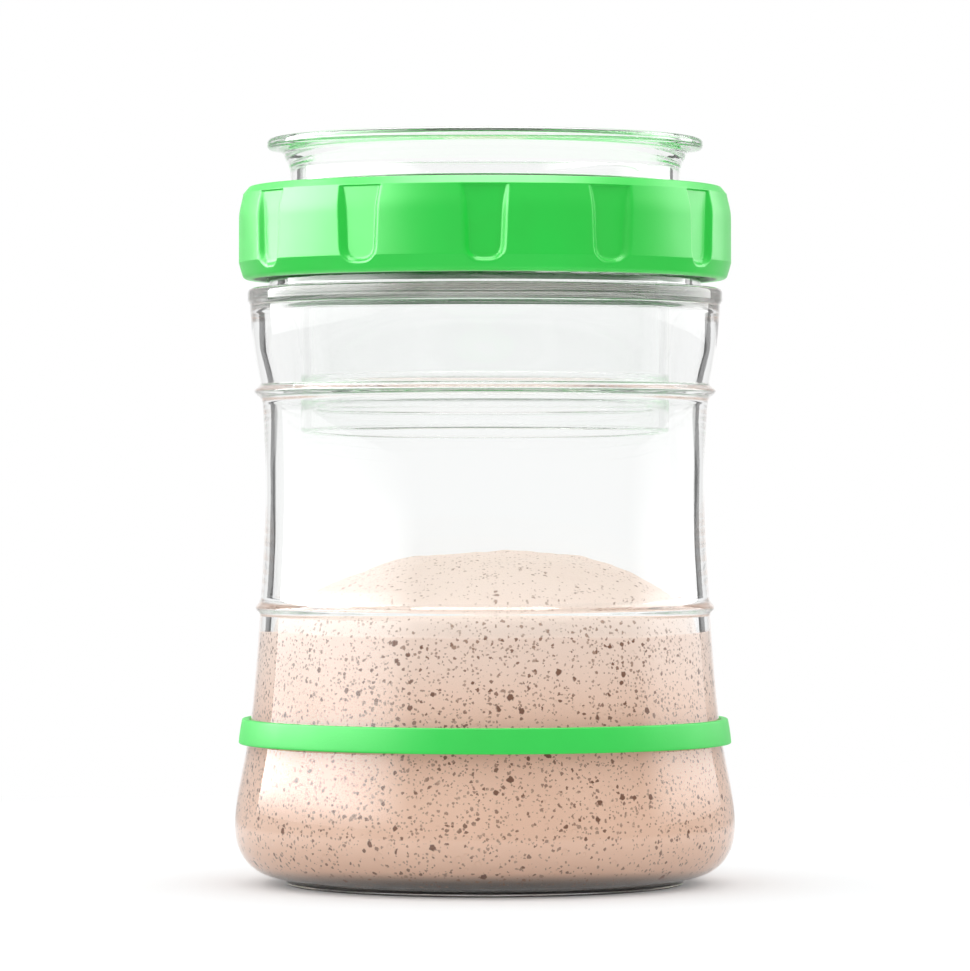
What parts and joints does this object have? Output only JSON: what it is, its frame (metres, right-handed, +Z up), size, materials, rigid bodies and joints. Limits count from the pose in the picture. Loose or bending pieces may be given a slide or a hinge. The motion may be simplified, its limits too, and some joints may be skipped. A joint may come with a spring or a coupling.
{
  "type": "sourdough starter jar",
  "caption": "Waisted glass jar with a green screw ring, a clear measuring cup hung in its mouth as a loose lid, a level band and risen starter inside.",
  "frame": {"origin": "centre of the jar's foot ring, on the surface the jar stands on", "axes": "+Z up along the jar's axis, which the screw ring, cup and band share; -Y towards the pictured front, where one scallop of the ring faces"},
  "size_m": [0.105, 0.105, 0.1561],
  "materials": {
    "jar_glass": "polished",
    "starter_dough": "matte",
    "band_green": "satin",
    "seal_clear": "satin",
    "ring_green": "satin",
    "cup_clear": "gloss"
  },
  "bodies": {
    "jar": {"jar": "jar_glass", "starter": "starter_dough"},
    "lid_seal": {"lid_seal": "seal_clear"},
    "screw_ring": {"screw_ring": "ring_green"},
    "measuring_cup": {"measuring_cup": "cup_clear"},
    "level_band": {"level_band": "band_green"}
  },
  "joints": [
    {"name": "lid_rise", "type": "slide", "parent": "jar", "child": "lid_seal", "axis": [0, 0, 1], "range_m": [0, 0.018]},
    {"name": "ring_turn", "type": "hinge", "parent": "lid_seal", "child": "screw_ring", "pos_m": [0, 0, 0.1366], "axis": [0, 0, 1], "range_deg": [0, 720]},
    {"name": "cup_lift", "type": "slide", "parent": "screw_ring", "child": "measuring_cup", "axis": [0, 0, 1], "range_m": [0, 0.058]},
    {"name": "band_slide", "type": "slide", "parent": "jar", "child": "level_band", "axis": [0, 0, 1], "range_m": [0, 0.082]}
  ],
  "couplings": [
    {"joint": "lid_rise", "follows": "ring_turn", "m_per_rad": 0.0014324}
  ]
}
